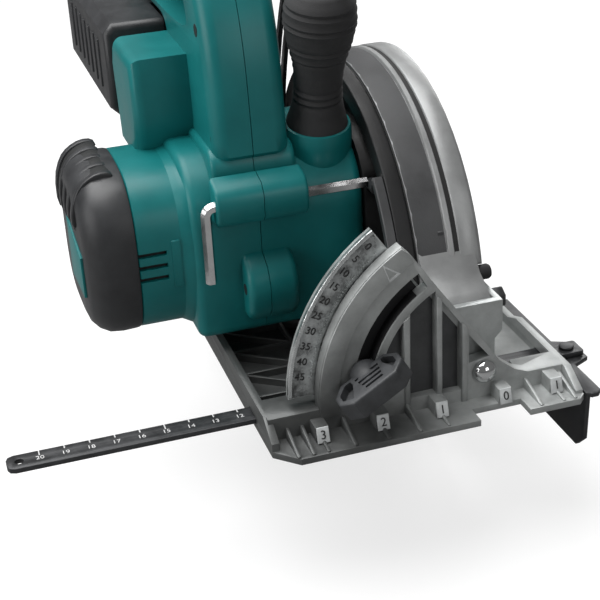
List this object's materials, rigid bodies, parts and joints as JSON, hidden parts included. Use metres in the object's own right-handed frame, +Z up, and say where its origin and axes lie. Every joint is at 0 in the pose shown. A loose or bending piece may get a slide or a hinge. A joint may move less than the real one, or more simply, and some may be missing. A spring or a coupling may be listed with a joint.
{
  "type": "circular saw",
  "caption": "Cordless circular saw: cast shoe with bevel quadrant and rip guide, tilting and depth hinges, side motor, geared blade with two guards, D-handle and slide-on battery.",
  "frame": {"origin": "on the underside of the shoe, on the cutting line, 30 mm behind the shoe's front edge", "axes": "+X is the cutting direction, +Y points to the blade side, +Z is up out of the workpiece"},
  "size_m": [0.277, 0.2448, 0.249],
  "materials": {
    "cast_aluminium": "sand-cast, lightly tumbled, grey",
    "bracket_aluminium": "cast, satin",
    "teal_plastic": "moulded teal plastic, satin",
    "black_plastic": "moulded black plastic",
    "grey_plastic": "moulded dark grey plastic",
    "soft_rubber": "black elastomer",
    "steel": "bright steel",
    "chrome": "polished",
    "black_sheet": "blackened sheet steel",
    "black_case": "black painted die casting",
    "copper_windings": "copper windings on steel laminations",
    "red_plastic": "red moulded plastic"
  },
  "bodies": {
    "shoe": {"shoe": "cast_aluminium", "front_pivot_rivet": "chrome", "rear_pivot_rivet": "chrome"},
    "tilt_frame": {"tilt_bracket": "bracket_aluminium", "rear_bracket": "black_sheet", "depth_guide": "black_sheet", "bevel_bolt": "steel", "depth_pivot_bolt": "black_sheet", "depth_pivot_nut": "steel"},
    "saw_body": {"upper_guard": "cast_aluminium", "gear_case": "black_case", "right_shell": "teal_plastic", "left_shell": "teal_plastic", "motor_end_cap": "grey_plastic", "stator": "copper_windings", "front_grip": "soft_rubber", "terminal_block": "black_plastic", "switch_module": "black_plastic", "depth_lock_bolt": "steel", "guard_bumper": "soft_rubber", "guard_spring": "steel", "spindle_front_bearing": "steel", "spindle_rear_bearing": "steel", "rotor_drive_bearing": "steel", "rotor_end_bearing": "steel", "shell_screw_1": "steel", "shell_screw_2": "steel", "shell_screw_3": "steel", "shell_screw_4": "steel"},
    "blade_drive": {"spindle": "steel", "drive_gear": "steel", "blade": "steel", "inner_flange": "steel", "outer_flange": "steel", "blade_bolt": "black_sheet"},
    "rotor": {"rotor_shaft": "steel", "motor_pinion": "steel", "rotor_core": "steel", "cooling_fan": "black_plastic"},
    "lower_guard": {"lower_guard": "cast_aluminium"},
    "bevel_knob": {"bevel_knob": "grey_plastic"},
    "depth_lever": {"depth_lever": "black_plastic"},
    "clamp_screw": {"guide_clamp_screw": "steel"},
    "rip_guide": {"guide_bar": "black_sheet", "guide_fence": "black_sheet", "guide_rivet": "steel"},
    "trigger": {"trigger": "black_plastic"},
    "lock_off_button": {"lock_off_button": "black_plastic"},
    "spindle_lock_button": {"spindle_lock_button": "grey_plastic"},
    "battery": {"battery_pack": "grey_plastic"},
    "battery_latch": {"battery_latch": "red_plastic"},
    "hex_key": {"hex_key": "chrome"}
  },
  "joints": [
    {"name": "bevel_tilt", "type": "hinge", "parent": "shoe", "child": "tilt_frame", "pos_m": [0, -0.0025, 0.0147], "axis": [-1, 0, 0], "range_deg": [0, 45]},
    {"name": "depth_swing", "type": "hinge", "parent": "tilt_frame", "child": "saw_body", "pos_m": [-0.0035, 0, 0.0373], "axis": [0, 1, 0], "range_deg": [0, 30]},
    {"name": "blade_spin", "type": "hinge", "parent": "saw_body", "child": "blade_drive", "pos_m": [-0.098, 0, 0.0275], "axis": [0, 1, 0], "continuous": true},
    {"name": "rotor_spin", "type": "hinge", "parent": "saw_body", "child": "rotor", "pos_m": [-0.08519, 0, 0.05573], "axis": [0, 1, 0], "continuous": true},
    {"name": "lower_guard_swing", "type": "hinge", "parent": "saw_body", "child": "lower_guard", "pos_m": [-0.098, 0, 0.0275], "axis": [0, 1, 0], "range_deg": [0, 150], "stiffness_Nm_per_rad": 0.05, "springref_deg": -68.75},
    {"name": "bevel_knob_turn", "type": "hinge", "parent": "tilt_frame", "child": "bevel_knob", "pos_m": [0.0135, -0.05375, 0.02513], "axis": [1, 0, 0], "range_deg": [-90, 90]},
    {"name": "depth_lever_turn", "type": "hinge", "parent": "saw_body", "child": "depth_lever", "pos_m": [-0.17584, -0.034, 0.05238], "axis": [0, 1, 0], "range_deg": [0, 70]},
    {"name": "guide_clamp_turn", "type": "hinge", "parent": "shoe", "child": "clamp_screw", "pos_m": [-0.0062, -0.045, 0.00495], "axis": [0, 0, 1], "range_deg": [-90, 90]},
    {"name": "rip_guide_slide", "type": "slide", "parent": "shoe", "child": "rip_guide", "axis": [0, 1, 0], "range_m": [0, 0.09]},
    {"name": "trigger_pull", "type": "hinge", "parent": "saw_body", "child": "trigger", "pos_m": [-0.0965, -0.0755, 0.166], "axis": [0, 1, 0], "range_deg": [0, 8], "stiffness_Nm_per_rad": 0.6, "springref_deg": -11.46},
    {"name": "lock_off_press", "type": "slide", "parent": "saw_body", "child": "lock_off_button", "axis": [0, 1, 0], "range_m": [-0.0028, 0.0028], "stiffness_N_per_m": 500},
    {"name": "spindle_lock_press", "type": "slide", "parent": "saw_body", "child": "spindle_lock_button", "axis": [-1, 0, 0], "range_m": [0, 0.0025], "stiffness_N_per_m": 500, "springref_m": -0.001},
    {"name": "battery_slide", "type": "slide", "parent": "saw_body", "child": "battery", "axis": [-1, 0, 0], "range_m": [0, 0.09]},
    {"name": "battery_latch_press", "type": "slide", "parent": "battery", "child": "battery_latch", "axis": [1, 0, 0], "range_m": [0, 0.003], "stiffness_N_per_m": 500, "springref_m": -0.001},
    {"name": "hex_key_pull", "type": "slide", "parent": "saw_body", "child": "hex_key", "axis": [0, -1, 0], "range_m": [0, 0.066]}
  ],
  "couplings": [
    {"joint": "rotor_spin", "follows": "blade_spin", "ratio": -2.2}
  ]
}
